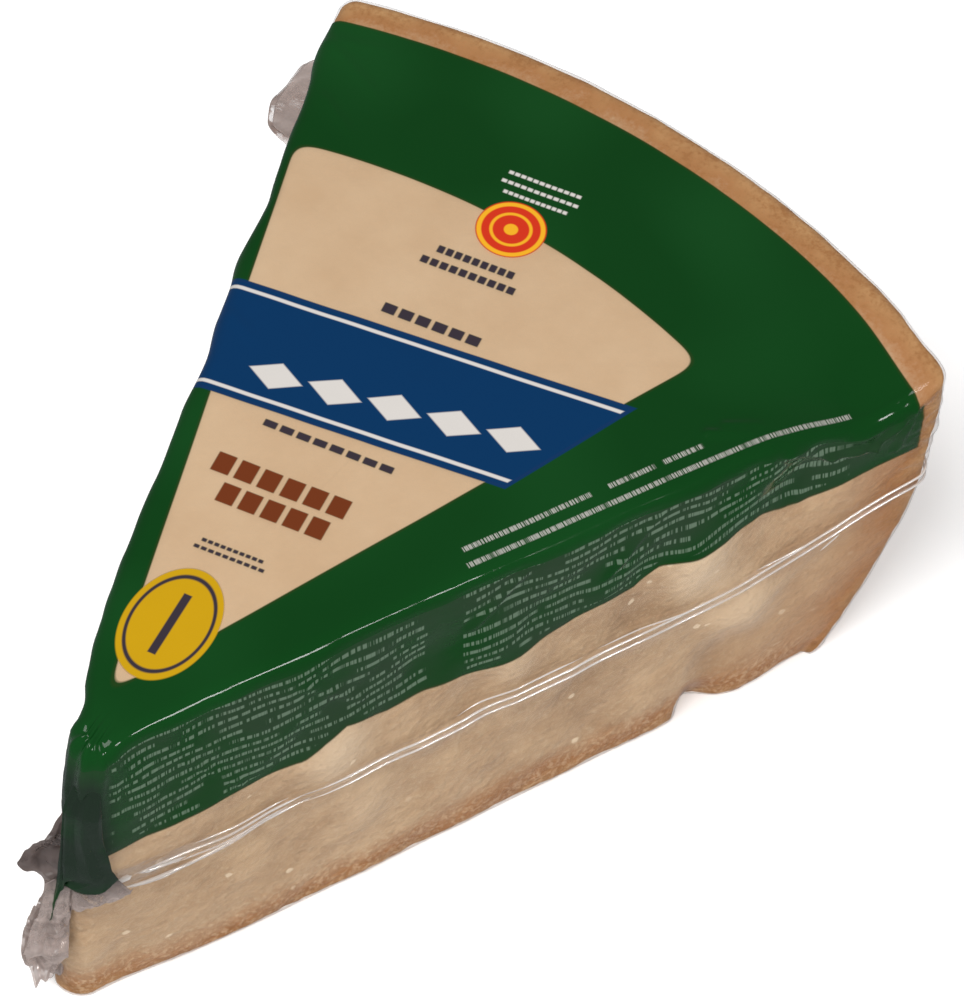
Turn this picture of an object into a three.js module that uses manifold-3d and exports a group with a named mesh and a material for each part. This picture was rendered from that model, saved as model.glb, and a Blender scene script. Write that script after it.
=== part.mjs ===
// A wedge of hard cheese, shrunk tight in a film bag. Millimetres, +Z up, standing on its flat base.
// The wedge is an eighth of a wheel that was cut level through its middle: the top and the two sides
// are cut faces, and the rim and the base are rind. The bag follows the cheese, so both are one body.
// Its seam runs round the waist as a low ridge, and the spare film beyond the seam is gathered into
// a tail at the tip and an ear at the left corner of the rim.

import * as THREE from 'three';
import { mergeVertices } from 'three/addons/utils/BufferGeometryUtils.js';
import Module from 'manifold-3d';

const wasm = await Module();
wasm.setup();

// Wedge: the tip of the wheel's eighth is at x = 0, y = 0 and its middle line runs along +X.
// The bag's walls stand off the sharp-edged wedge, over the wrinkles and air beneath them.
const wheelRadius = 210;
const wedgeAngle = THREE.MathUtils.degToRad(45);
const tipHeight = 101.6;
const rimHeight = 89.4;
const tipRadius = 4.2;
const cornerRadius = 3.2;
const topEdgeRadius = 3;
const baseEdgeRadius = 2;
const filmStandoff = 1;

// Heel of the wheel: the rim draws in towards the base along a power curve
const heelInset = 24;
const heelCurve = 2.2;

// Top: it sags over the tip and beside the right corner of the rim
const tipSag = { depth: 5, reach: 10 };
const cornerSag = { depth: 7.5, along: 193, reach: 17, inward: 13 };

// Seam of the bag: level round the waist, climbing where it nears the rim
const seam = { height: 46, rimHeight: 54, climbFrom: 150, halfWidth: 2.4, rise: 1.2 };

// Cut faces: each lump is a soft swelling, or a hollow where its rise is negative
const lumpStretch = 1.5;
const rightFaceLumps = [
  { along: 6, height: 0, spread: 7, rise: 1.2 },
  { along: 50, height: 82, spread: 10, rise: 1.0 },
  { along: 64, height: 58, spread: 8, rise: 2.4 },
  { along: 71, height: 30, spread: 8, rise: 1.2 },
  { along: 84, height: 74, spread: 8, rise: -1.4 },
  { along: 97, height: 52, spread: 6, rise: -1.2 },
  { along: 104, height: 62, spread: 8, rise: 1.6 },
  { along: 124, height: 26, spread: 12, rise: -1.0 },
  { along: 137, height: 54, spread: 7, rise: -1.6 },
  { along: 150, height: 63, spread: 9, rise: 2.6 },
  { along: 158, height: 22, spread: 7, rise: -2.0 },
  { along: 163, height: 36, spread: 8, rise: 2.6 },
  { along: 176, height: 74, spread: 8, rise: -2.6 },
  { along: 180, height: 0, spread: 11, rise: -1.3 },
];
const leftFaceLumps = [
  { along: 13, height: 96, spread: 9, rise: -1.8 },
  { along: 36, height: 84, spread: 5, rise: -1.0 },
  { along: 50, height: 82, spread: 6, rise: 1.8 },
  { along: 68, height: 84, spread: 6, rise: 0.8 },
  { along: 88, height: 80, spread: 6, rise: 1.2 },
  { along: 107, height: 84, spread: 9, rise: -1.8 },
  { along: 120, height: 40, spread: 12, rise: 1.6 },
  { along: 135, height: 84, spread: 6, rise: 0.8 },
  { along: 152, height: 84, spread: 8, rise: -1.8 },
  { along: 177, height: 80, spread: 6, rise: -0.8 },
  { along: 195, height: 78, spread: 8, rise: 1.8 },
];

// Chip broken out of the base edge of the right face, steep towards the tip and shallow to the rim
const chip = { along: 152, height: 9, depth: 5, tipwardReach: 3, rimwardReach: 6 };

// Film gathered at the tip: a crumpled fin that points away from the wedge and hangs to the base.
// Each edge point is a distance out from the tip and a height.
const tail = {
  start: new THREE.Vector2(7.3, 0),
  towards: new THREE.Vector2(-0.66, 0.75).normalize(),
  rootDepth: 3,
  edge: [
    [0.8, 92], [2.4, 76], [3.4, 69], [8.2, 61], [12.6, 52.5], [8, 45], [8, 40],
    [12.4, 29], [14.2, 16], [13.9, 7], [10.5, 2.5],
  ],
  thickness: 2.6,
  ripple: 1.1,
  ripples: 4,
};

// Film gathered at the left corner of the rim: a level fan round the corner, at the height of the seam
const ear = {
  root: [[179, 73], [185, 74], [190, 73], [194, 69]],
  edge: [[178.5, 82], [180.5, 89], [186, 94], [192, 96], [198, 97], [203, 93], [205.5, 85], [203, 77]],
  height: 52,
  thickness: 2.4,
  ripple: 1.6,
  ripples: 3,
};

// Mesh fineness: steps along half of the outline, up the wall, over the edges, in on the top and base
const tipSteps = 4;
const faceSteps = 34;
const cornerSteps = 4;
const rimSteps = 13;
const edgeSteps = 3;
const lowerWallSteps = 6;
const upperWallSteps = 6;
const topRings = [0.96, 0.9, 0.8, 0.6, 0.3];
const baseRings = [0.5, 0.85];
const ringMiddleX = 130;
const filmSteps = 26;
const filmLayers = 3;

const halfAngle = wedgeAngle / 2;
const quarterTurn = Math.PI / 2;
const { lerp, smoothstep } = THREE.MathUtils;

// A bell of height 1 round zero
function bell(distance, reach) {
  return Math.exp(-((distance / reach) ** 2));
}

// The rim's radius at a height
function rimRadius(height) {
  const belowCut = Math.max(0, 1 - height / rimHeight);
  return wheelRadius - heelInset * belowCut ** heelCurve;
}

// The top's height: a plane from tip to rim with its two sags
function topHeight(x, y) {
  const along = x * Math.cos(halfAngle) - y * Math.sin(halfAngle);
  const inward = x * Math.sin(halfAngle) + y * Math.cos(halfAngle);
  const plane = lerp(tipHeight, rimHeight, x / wheelRadius);
  const sagAtTip = tipSag.depth * bell(Math.hypot(x, y), tipSag.reach);
  const sagAtCorner = cornerSag.depth * bell(along - cornerSag.along, cornerSag.reach)
    * bell(inward, cornerSag.inward);
  return plane - sagAtTip - sagAtCorner;
}

// The seam's height at a distance from the tip
function seamHeight(along) {
  return lerp(seam.height, seam.rimHeight, smoothstep(along, seam.climbFrom, wheelRadius));
}

// A point of the plan outline on its left half, for a rim of the given radius: its place, its
// outward normal and how far along the face it lies
function leftOutlinePoint(station, radius) {
  const tipCentre = tipRadius / Math.sin(halfAngle);
  const faceStart = tipRadius / Math.tan(halfAngle);
  const cornerTurn = Math.asin(cornerRadius / (radius - cornerRadius));
  const faceEnd = (radius - cornerRadius) * Math.cos(cornerTurn);
  const rimEdgeAngle = halfAngle - cornerTurn;
  const faceNormal = quarterTurn + halfAngle;
  if (station.part === 'tip') {
    const angle = lerp(Math.PI, faceNormal, station.share);
    return {
      x: tipCentre + tipRadius * Math.cos(angle), y: tipRadius * Math.sin(angle), angle, along: faceStart,
    };
  }
  if (station.part === 'face') {
    const along = lerp(faceStart, faceEnd, station.share);
    return { x: along * Math.cos(halfAngle), y: along * Math.sin(halfAngle), angle: faceNormal, along };
  }
  if (station.part === 'corner') {
    const angle = lerp(faceNormal, rimEdgeAngle, station.share);
    const centre = radius - cornerRadius;
    return {
      x: centre * Math.cos(rimEdgeAngle) + cornerRadius * Math.cos(angle),
      y: centre * Math.sin(rimEdgeAngle) + cornerRadius * Math.sin(angle),
      angle,
      along: wheelRadius,
    };
  }
  const angle = lerp(rimEdgeAngle, 0, station.share);
  return { x: radius * Math.cos(angle), y: radius * Math.sin(angle), angle, along: wheelRadius };
}

// The stations of the left half of the outline, from the tip to the middle of the rim
function leftStations() {
  const parts = [['tip', tipSteps], ['face', faceSteps], ['corner', cornerSteps], ['rim', rimSteps]];
  const stations = [];
  for (const [part, steps] of parts) {
    for (let step = 0; step < steps; step += 1) {
      stations.push({ part, share: step / steps, side: 1 });
    }
  }
  return stations;
}

// The whole outline counter-clockwise from above: out along the right face, back along the left one
function outlineStations() {
  const left = leftStations();
  const right = left.map((station) => ({ ...station, side: -1 }));
  const rimMiddle = { part: 'rim', share: 1, side: 1 };
  return [...right, rimMiddle, ...left.slice(1).reverse()];
}

// How far a cut face swells out of its plane
function faceRelief(side, along, height) {
  const lumps = side < 0 ? rightFaceLumps : leftFaceLumps;
  let relief = 0;
  for (const lump of lumps) {
    relief += lump.rise * bell(along - lump.along, lump.spread)
      * bell(height - lump.height, lump.spread * lumpStretch);
  }
  if (side < 0) {
    const reach = along < chip.along ? chip.tipwardReach : chip.rimwardReach;
    relief -= chip.depth * bell(along - chip.along, reach) * bell(height, chip.height);
  }
  return relief;
}

// A point of the bag's wall at a station and a row
function wallPoint(station, row) {
  const plan = leftOutlinePoint(station, wheelRadius);
  const planX = plan.x - row.inset * Math.cos(plan.angle);
  const planY = plan.y - row.inset * Math.sin(plan.angle);
  const height = row.height(seamHeight(plan.along), topHeight(planX, planY * station.side));
  const point = leftOutlinePoint(station, rimRadius(height));
  const reliefShare = { tip: station.share, face: 1, corner: 1 - station.share, rim: 0 }[station.part];
  const relief = reliefShare * faceRelief(station.side, point.along, height);
  const outward = filmStandoff + relief + seam.rise * row.ridge - row.inset;
  const x = point.x + outward * Math.cos(point.angle);
  const y = point.y + outward * Math.sin(point.angle);
  return new THREE.Vector3(x, y * station.side, height);
}

// The rows of the wall from the base edge to the top edge
function wallRows() {
  const rows = [];
  for (let step = 0; step <= edgeSteps; step += 1) {
    const turn = (step / edgeSteps) * quarterTurn;
    const rise = baseEdgeRadius * (1 - Math.cos(turn));
    rows.push({ inset: baseEdgeRadius * (1 - Math.sin(turn)), ridge: 0, height: () => rise });
  }
  for (let step = 1; step < lowerWallSteps; step += 1) {
    const share = step / lowerWallSteps;
    const height = (seamAt) => lerp(baseEdgeRadius, seamAt - seam.halfWidth, share);
    rows.push({ inset: 0, ridge: 0, height });
  }
  for (const across of [-1, 0, 1]) {
    const ridge = 1 - Math.abs(across);
    rows.push({ inset: 0, ridge, height: (seamAt) => seamAt + across * seam.halfWidth });
  }
  for (let step = 1; step < upperWallSteps; step += 1) {
    const share = step / upperWallSteps;
    const height = (seamAt, top) => lerp(seamAt + seam.halfWidth, top - topEdgeRadius, share);
    rows.push({ inset: 0, ridge: 0, height });
  }
  for (let step = 0; step <= edgeSteps; step += 1) {
    const turn = (step / edgeSteps) * quarterTurn;
    const fall = topEdgeRadius * (1 - Math.sin(turn));
    const inset = topEdgeRadius * (1 - Math.cos(turn));
    rows.push({ inset, ridge: 0, height: (seamAt, top) => top - fall });
  }
  return rows;
}

// Closed skin over a stack of rings with the same number of points, and a point at either end
function closedSkin(rings, startPoint, endPoint) {
  const size = rings[0].length;
  const points = [startPoint, ...rings.flat(), endPoint];
  const last = points.length - 1;
  const indices = [];
  const at = (ring, place) => 1 + ring * size + (place % size);
  for (let place = 0; place < size; place += 1) {
    indices.push(0, at(0, place + 1), at(0, place));
    for (let ring = 0; ring + 1 < rings.length; ring += 1) {
      indices.push(at(ring, place), at(ring, place + 1), at(ring + 1, place + 1));
      indices.push(at(ring, place), at(ring + 1, place + 1), at(ring + 1, place));
    }
    indices.push(last, at(rings.length - 1, place), at(rings.length - 1, place + 1));
  }
  const geometry = new THREE.BufferGeometry().setFromPoints(points);
  geometry.setIndex(indices);
  return geometry;
}

// The wedge in its bag, without the gathered film
function wrappedWedge() {
  const stations = outlineStations();
  const wall = wallRows().map((row) => stations.map((station) => wallPoint(station, row)));
  const middle = new THREE.Vector3(ringMiddleX, 0, 0);
  const topMiddle = middle.clone().setZ(topHeight(middle.x, middle.y));
  const base = baseRings.map((share) => wall[0].map((point) => middle.clone().lerp(point, share)));
  const top = topRings.map((share) => wall.at(-1).map((point) => {
    const inner = topMiddle.clone().lerp(point, share);
    return inner.setZ(topHeight(inner.x, inner.y));
  }));
  return closedSkin([...base, ...wall, ...top], middle, topMiddle);
}

// A sheet of crumpled film between a root inside the wedge and a free edge. Its waves grow outwards.
function crumpledFilm(root, edge, normal, film) {
  const rings = [];
  for (let step = 0; step <= filmSteps; step += 1) {
    const share = step / filmSteps;
    const from = root.getPoint(share);
    const to = edge.getPoint(share);
    const wave = film.ripple * Math.sin(film.ripples * 2 * Math.PI * share);
    const front = [];
    const back = [];
    for (let layer = 0; layer <= filmLayers; layer += 1) {
      const out = layer / filmLayers;
      const middle = from.clone().lerp(to, out).addScaledVector(normal, wave * out);
      front.push(middle.clone().addScaledVector(normal, film.thickness / 2));
      back.unshift(middle.clone().addScaledVector(normal, -film.thickness / 2));
    }
    rings.push([...front, ...back]);
  }
  const centre = (ring) => ring.reduce((sum, point) => sum.add(point), new THREE.Vector3())
    .divideScalar(ring.length);
  return closedSkin(rings, centre(rings[0]), centre(rings.at(-1)));
}

// The gathered film at the tip
function tipTail() {
  const place = (out, height) => {
    const plan = tail.start.clone().addScaledVector(tail.towards, out);
    return new THREE.Vector3(plan.x, plan.y, height);
  };
  const edge = new THREE.CatmullRomCurve3(tail.edge.map(([out, height]) => place(out, height)));
  const [, highest] = tail.edge[0];
  const [, lowest] = tail.edge.at(-1);
  const root = new THREE.LineCurve3(place(-tail.rootDepth, highest), place(-tail.rootDepth, lowest));
  const normal = new THREE.Vector3(-tail.towards.y, tail.towards.x, 0);
  return crumpledFilm(root, edge, normal, tail);
}

// The gathered film at the corner of the rim
function cornerEar() {
  const place = ([x, y]) => new THREE.Vector3(x, y, ear.height);
  const root = new THREE.CatmullRomCurve3(ear.root.map(place));
  const edge = new THREE.CatmullRomCurve3(ear.edge.map(place));
  return crumpledFilm(root, edge, new THREE.Vector3(0, 0, 1), ear);
}

// Whether the faces of a closed triangle mesh point in, by the sign of the volume that they enclose
function facesPointIn(points, corners) {
  let signedVolume = 0;
  for (let start = 0; start < corners.length; start += 3) {
    const [a, b, c] = [0, 1, 2].map((offset) => (
      new THREE.Vector3().fromArray(points, corners[start + offset] * 3)
    ));
    signedVolume += a.dot(b.cross(c));
  }
  return signedVolume < 0;
}

// Turns a geometry into a solid whose faces point out
function solidOf(geometry) {
  const merged = mergeVertices(geometry);
  const points = merged.getAttribute('position').array;
  const corners = Uint32Array.from(merged.getIndex().array);
  if (facesPointIn(points, corners)) {
    for (let start = 0; start < corners.length; start += 3) {
      [corners[start], corners[start + 1]] = [corners[start + 1], corners[start]];
    }
  }
  return new wasm.Manifold(new wasm.Mesh({ numProp: 3, vertProperties: points, triVerts: corners }));
}

// The geometry of a solid
function geometryOf(solid) {
  const mesh = solid.getMesh();
  const geometry = new THREE.BufferGeometry();
  geometry.setAttribute('position', new THREE.BufferAttribute(mesh.vertProperties, 3));
  geometry.setIndex(new THREE.BufferAttribute(mesh.triVerts, 1));
  geometry.computeVertexNormals();
  return geometry;
}

const packSolid = solidOf(wrappedWedge()).add(solidOf(tipTail())).add(solidOf(cornerEar()));
const printedFilm = new THREE.MeshStandardMaterial({ color: 0x14502a, roughness: 0.25, metalness: 0 });
const pack = new THREE.Mesh(geometryOf(packSolid), printedFilm);
pack.name = 'cheese_wedge_in_shrink_bag';

// The origin is the middle of the pack's footprint, on the surface that it stands on
const group = new THREE.Group();
group.add(pack);
const extent = new THREE.Box3().setFromObject(pack);
group.position.set(-(extent.min.x + extent.max.x) / 2, -(extent.min.y + extent.max.y) / 2, -extent.min.z);

export default group;
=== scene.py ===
import math

import bmesh
import bpy
import numpy as np
from mathutils import Matrix, Vector


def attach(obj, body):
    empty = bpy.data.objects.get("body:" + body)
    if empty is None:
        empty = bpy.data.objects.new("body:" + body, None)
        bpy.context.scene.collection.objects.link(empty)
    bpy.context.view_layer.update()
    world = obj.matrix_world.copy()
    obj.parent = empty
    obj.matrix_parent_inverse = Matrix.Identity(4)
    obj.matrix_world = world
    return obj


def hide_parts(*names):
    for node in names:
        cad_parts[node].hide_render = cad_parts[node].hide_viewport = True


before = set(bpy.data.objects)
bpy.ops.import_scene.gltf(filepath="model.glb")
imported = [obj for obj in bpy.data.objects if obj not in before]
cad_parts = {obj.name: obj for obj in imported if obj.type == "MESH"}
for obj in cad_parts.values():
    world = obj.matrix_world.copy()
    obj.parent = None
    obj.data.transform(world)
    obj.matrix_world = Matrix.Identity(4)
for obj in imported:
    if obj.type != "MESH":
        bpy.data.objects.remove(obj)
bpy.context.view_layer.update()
packNode = "cheese_wedge_in_shrink_bag"

# The wedge in millimetres, in its own space: the sharp tip at 0, 0, the middle line along +X.
# tipPlace is where that tip lies in the row frame, in metres.
wedge = {
    "tipPlace": (-0.103541, -0.008371), "wheelRadius": 211.2, "halfAngle": math.radians(22.5),
    "tipHeight": 101.6, "rimHeight": 89.4, "tipRadius": 4.2, "cornerRadius": 3.2, "cornerGrowth": 0.1,
    "topEdge": 3.0, "baseEdge": 2.0, "standoff": 1.0, "heelInset": 23.0, "heelCurve": 2.2,
    "tipSag": 5.0, "tipSagReach": 10.0,
    "cornerSag": 7.5, "cornerSagAlong": 193.0, "cornerSagReach": 17.0, "cornerSagInward": 15.5,
    # the tip leans: how far it is moved at each height, and how far round it that reaches
    "leanHeights": (0, 15, 30, 45, 60, 72, 82, 90, 96), "leanX": (-4.0, -3.1, -2.1, -1.0, -0.2, 0.1, 0.5, 1.3, 2.0),
    "leanY": (5.2, 4.1, 2.8, 1.4, 0.2, -0.2, -0.8, -1.9, -3.0), "leanReach": 24.0,
    "seamHeight": 46.0, "seamRimHeight": 54.0, "seamClimbFrom": 150.0, "seamHalfWidth": 2.4,
    # where the rings of the top and base close, and the base's rings as shares of the way out from there
    "ringMiddle": 130.0, "baseShares": (0.3, 0.6, 0.85),
}

# Swellings and hollows of the cut faces, -1 the right and 1 the left: along the face, height, spread, rise
lumps = {
    -1: [(6, 0, 7, 1.2), (50, 82, 10, 1.0), (64, 58, 8, 2.4), (71, 30, 8, 1.2), (84, 74, 8, -1.4),
         (97, 52, 6, -1.2), (104, 62, 8, 1.6), (124, 26, 12, -1.0), (137, 54, 7, -1.6), (150, 63, 9, 2.6),
         (158, 22, 7, -2.0), (163, 36, 8, 2.6), (176, 74, 8, -2.6), (180, 0, 11, -1.3)],
    1: [(13, 96, 9, -1.8), (36, 84, 5, -1.0), (50, 82, 6, 1.8), (68, 84, 6, 0.8), (88, 80, 6, 1.2),
        (107, 84, 9, -1.8), (120, 40, 12, 1.6), (135, 84, 6, 0.8), (152, 84, 8, -1.8), (177, 80, 6, -0.8),
        (195, 78, 8, 1.8)],
}
lumpStretch = 1.5
hollowFade = (9.0, 20.0)  # hollows fade out where the outline turns round the tip
tautSpan = (12.0, 206.0, 195)  # along a face, where film is drawn tight: start, end, number of places
chip = {"along": 152.0, "height": 9.0, "depth": 5.0, "tipwardReach": 3.0, "rimwardReach": 6.0}

tipPart, facePart, cornerPart, rimPart = range(4)


def bell(distance, reach):
    return np.exp(-(distance / reach) ** 2)


def ease(value, low, high):
    share = np.clip((value - low) / (high - low), 0.0, 1.0)
    return share * share * (3.0 - 2.0 * share)


def mix(low, high, share):
    return low + (high - low) * share


def rimRadiusAt(height):
    belowCut = np.maximum(0.0, 1.0 - height / wedge["rimHeight"])
    return wedge["wheelRadius"] - wedge["heelInset"] * belowCut ** wedge["heelCurve"]


def acrossRightFace(x, y):
    # distance along the right cut face and distance inward from it
    cosHalf, sinHalf = math.cos(wedge["halfAngle"]), math.sin(wedge["halfAngle"])
    return x * cosHalf - y * sinHalf, x * sinHalf + y * cosHalf


def alongFace(x, y):
    # distance along the nearer cut face
    return acrossRightFace(x, -np.abs(y))[0]


def topHeightAt(x, y):
    along, inward = acrossRightFace(x, y)
    plane = mix(wedge["tipHeight"], wedge["rimHeight"], x / wedge["wheelRadius"])
    tipSag = wedge["tipSag"] * bell(np.hypot(x, y), wedge["tipSagReach"])
    cornerSag = wedge["cornerSag"] * bell(along - wedge["cornerSagAlong"], wedge["cornerSagReach"])
    return plane - tipSag - cornerSag * bell(inward, wedge["cornerSagInward"])


def seamHeightAt(along):
    climb = ease(along, wedge["seamClimbFrom"], wedge["wheelRadius"])
    return mix(wedge["seamHeight"], wedge["seamRimHeight"], climb)


def outlinePoints(part, share, radius):
    # left half of the plan outline: place, direction of its outward normal, distance along the face
    half, tip = wedge["halfAngle"], wedge["tipRadius"]
    corner = wedge["cornerRadius"] + wedge["cornerGrowth"] * (wedge["wheelRadius"] - radius)
    faceStart = tip / math.tan(half)
    centre = radius - corner
    cornerTurn = np.arcsin(corner / centre)
    faceEnd = centre * np.cos(cornerTurn)
    rimEdge = half - cornerTurn
    faceNormal = math.pi / 2 + half
    tipTurn = mix(math.pi, faceNormal, share)
    faceAlong = mix(faceStart, faceEnd, share)
    cornerAngle = mix(faceNormal, rimEdge, share)
    rimAngle = mix(rimEdge, 0.0, share)
    parts = [part == tipPart, part == facePart, part == cornerPart, part == rimPart]
    x = np.select(parts, [tip / math.sin(half) + tip * np.cos(tipTurn), faceAlong * math.cos(half),
                          centre * np.cos(rimEdge) + corner * np.cos(cornerAngle), radius * np.cos(rimAngle)])
    y = np.select(parts, [tip * np.sin(tipTurn), faceAlong * math.sin(half),
                          centre * np.sin(rimEdge) + corner * np.sin(cornerAngle), radius * np.sin(rimAngle)])
    angle = np.select(parts, [tipTurn, faceNormal + 0 * share, cornerAngle, rimAngle])
    along = np.select(parts, [faceStart + 0 * share, faceAlong, wedge["wheelRadius"] + 0 * share,
                              wedge["wheelRadius"] + 0 * share])
    return x, y, angle, along


def outlineStations(tipSteps, faceSteps, cornerSteps, rimSteps):
    # counter-clockwise from above: the right half from the tip to the rim, then the left half back
    parts, shares = [], []
    for part, steps in enumerate((tipSteps, faceSteps, cornerSteps, rimSteps)):
        parts += [part] * steps
        shares += [step / steps for step in range(steps)]
    sides = [-1.0] * len(parts) + [1.0] * len(parts)
    part = np.array(parts + [rimPart] + parts[:0:-1])
    share = np.array(shares + [1.0] + shares[:0:-1])
    return {"part": part, "share": share, "side": np.array(sides)}


def faceRelief(side, along, height):
    total = np.zeros_like(along)
    for hand, spots in lumps.items():
        for spotAlong, spotHeight, spread, rise in spots:
            spot = bell(along - spotAlong, spread) * bell(height - spotHeight, spread * lumpStretch)
            total += np.where(side == hand, rise * spot, 0.0)
    total = np.where(total < 0, total * ease(along, *hollowFade), total)
    reach = np.where(along < chip["along"], chip["tipwardReach"], chip["rimwardReach"])
    cut = chip["depth"] * bell(along - chip["along"], reach) * bell(height, chip["height"])
    return total - np.where(side < 0, cut, 0.0)


def tautLift(side, along):
    # how far film drawn tight along the seam stands off the hollows of the cut faces
    places = np.linspace(*tautSpan)
    lifted = np.zeros_like(along)
    for hand in (-1.0, 1.0):
        relief = faceRelief(hand, places, seamHeightAt(places))
        hull = [0]
        for place in range(1, len(places)):
            while len(hull) > 1 and ((relief[hull[-1]] - relief[hull[-2]]) * (place - hull[-2])
                                     <= (relief[place] - relief[hull[-2]]) * (hull[-1] - hull[-2])):
                hull.pop()
            hull.append(place)
        tight = np.interp(places, places[hull], relief[hull]) - relief
        lifted = np.where(side == hand, np.interp(along, places, tight, left=0.0, right=0.0), lifted)
    return lifted


def wallRows(lowerSteps, seamSteps, upperSteps, edgeSteps):
    # each row: the level below it, the level above it, the share between them, the inset of an edge
    turns = [step / edgeSteps * math.pi / 2 for step in range(edgeSteps + 1)]
    rows = [("floor", "baseEdge", 1 - math.cos(turn), wedge["baseEdge"] * (1 - math.sin(turn))) for turn in turns]
    rows += [("baseEdge", "seamLow", step / lowerSteps, 0.0) for step in range(1, lowerSteps)]
    rows += [("seamLow", "seamHigh", step / seamSteps, 0.0) for step in range(seamSteps + 1)]
    rows += [("seamHigh", "topEdge", step / upperSteps, 0.0) for step in range(1, upperSteps)]
    rows += [("topEdge", "top", math.sin(turn), wedge["topEdge"] * (1 - math.cos(turn))) for turn in turns]
    return rows


def wallPoints(stations, row):
    low, high, share, inset = row
    part, side = stations["part"], stations["side"]
    planX, planY, angle, along = outlinePoints(part, stations["share"], wedge["wheelRadius"])
    top = topHeightAt(planX - inset * np.cos(angle), (planY - inset * np.sin(angle)) * side)
    seam = seamHeightAt(along)
    levels = {"floor": 0 * top, "baseEdge": 0 * top + wedge["baseEdge"], "seamLow": seam - wedge["seamHalfWidth"],
              "seamHigh": seam + wedge["seamHalfWidth"], "topEdge": top - wedge["topEdge"], "top": top}
    height = mix(levels[low], levels[high], share)
    x, y, angle, along = outlinePoints(part, stations["share"], rimRadiusAt(height))
    reliefShare = np.select([part == tipPart, part == facePart, part == cornerPart],
                            [stations["share"], 1.0 + 0 * top, 1.0 - stations["share"]])
    outward = wedge["standoff"] + reliefShare * faceRelief(side, along, height) - inset
    x = x + outward * np.cos(angle)
    y = y + outward * np.sin(angle)
    return np.stack([x, y * side, height], axis=1)


def leaned(points):
    pull = bell(np.hypot(points[..., 0], points[..., 1]), wedge["leanReach"])
    moved = points.copy()
    for axis, shifts in enumerate(("leanX", "leanY")):
        moved[..., axis] += pull * np.interp(points[..., 2], wedge["leanHeights"], wedge[shifts])
    return moved


def wedgeGrid(stations, rows, topShares):
    # rows of points from the middle of the base, up the wall and in to the middle of the top
    wall = [wallPoints(stations, row) for row in rows]
    middle = np.array([wedge["ringMiddle"], 0.0, 0.0])
    base = [mix(middle, wall[0], share) for share in wedge["baseShares"]]
    tops = []
    for share in topShares:
        ring = mix(middle, wall[-1], share)
        ring[:, 2] = topHeightAt(ring[:, 0], ring[:, 1])
        tops.append(ring)
    return leaned(np.stack(base + wall + tops))


def gridNormals(grid, baseRings=0, topRings=0):
    # outward normals, straight up or down where the rings lie flat
    across = np.roll(grid, -1, axis=1) - np.roll(grid, 1, axis=1)
    up = np.gradient(grid, axis=0)
    normals = np.cross(across, up)
    normals /= np.linalg.norm(normals, axis=2, keepdims=True) + 1e-9
    normals[:baseRings] = (0.0, 0.0, -1.0)
    normals[len(grid) - topRings:] = (0.0, 0.0, 1.0)
    return normals


def waves(points, size, count, seed):
    # smooth seeded noise of about unit height whose bumps are about size millimetres apart
    draw = np.random.default_rng(seed)
    total = np.zeros(points.shape[:-1])
    for _ in range(count):
        direction = draw.normal(size=3)
        direction *= 2 * math.pi / (size * draw.uniform(0.7, 1.5) * np.linalg.norm(direction))
        total += np.sin(points @ direction + draw.uniform(0, 2 * math.pi))
    return total * math.sqrt(2 / count)


def segmentDistance(u, v, start, end):
    along = np.array(end, float) - np.array(start, float)
    length = np.hypot(*along)
    share = np.clip(((u - start[0]) * along[0] + (v - start[1]) * along[1]) / length ** 2, 0, 1)
    return np.hypot(u - start[0] - share * along[0], v - start[1] - share * along[1]), share


def inRow(points):
    # wedge millimetres to metres in the row frame
    placed = np.array(points, float) * 0.001
    placed[..., 0] += wedge["tipPlace"][0]
    placed[..., 1] += wedge["tipPlace"][1]
    return placed


def linked(name, data):
    made = bpy.data.objects.new(name, data)
    bpy.context.scene.collection.objects.link(made)
    return made


def meshObject(name, points, faces, smooth=True):
    mesh = bpy.data.meshes.new(name)
    mesh.from_pydata(points.tolist(), [], faces)
    mesh.update()
    mesh.polygons.foreach_set("use_smooth", [smooth] * len(mesh.polygons))
    return linked(name, mesh)


def closedGrid(name, grid):
    # a skin over rings of equal size, closed by a fan at either end
    rings, size = grid.shape[:2]
    start, end = ((wedge["ringMiddle"], 0.0, float(grid[ring, :, 2].mean())) for ring in (0, -1))
    points = np.vstack([[start], grid.reshape(-1, 3), [end]])
    last = len(points) - 1
    place = np.arange(size)
    following = (place + 1) % size
    faces = [(0, 1 + b, 1 + a) for a, b in zip(place, following)]
    for ring in range(rings - 1):
        low = 1 + ring * size
        high = low + size
        faces += [(low + a, low + b, high + b, high + a) for a, b in zip(place, following)]
    low = 1 + (rings - 1) * size
    faces += [(last, low + a, low + b) for a, b in zip(place, following)]
    faces = [tuple(int(corner) for corner in face) for face in faces]
    return meshObject(name, inRow(points), faces)


def storeValues(made, name, values, ends=None):
    # one number for each point, and for the two points that close a skin
    if ends is not None:
        values = np.concatenate([[ends[0]], values.ravel(), [ends[1]]])
    made.data.attributes.new(name, "FLOAT", "POINT").data.foreach_set("value", np.asarray(values, np.float32))


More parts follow.
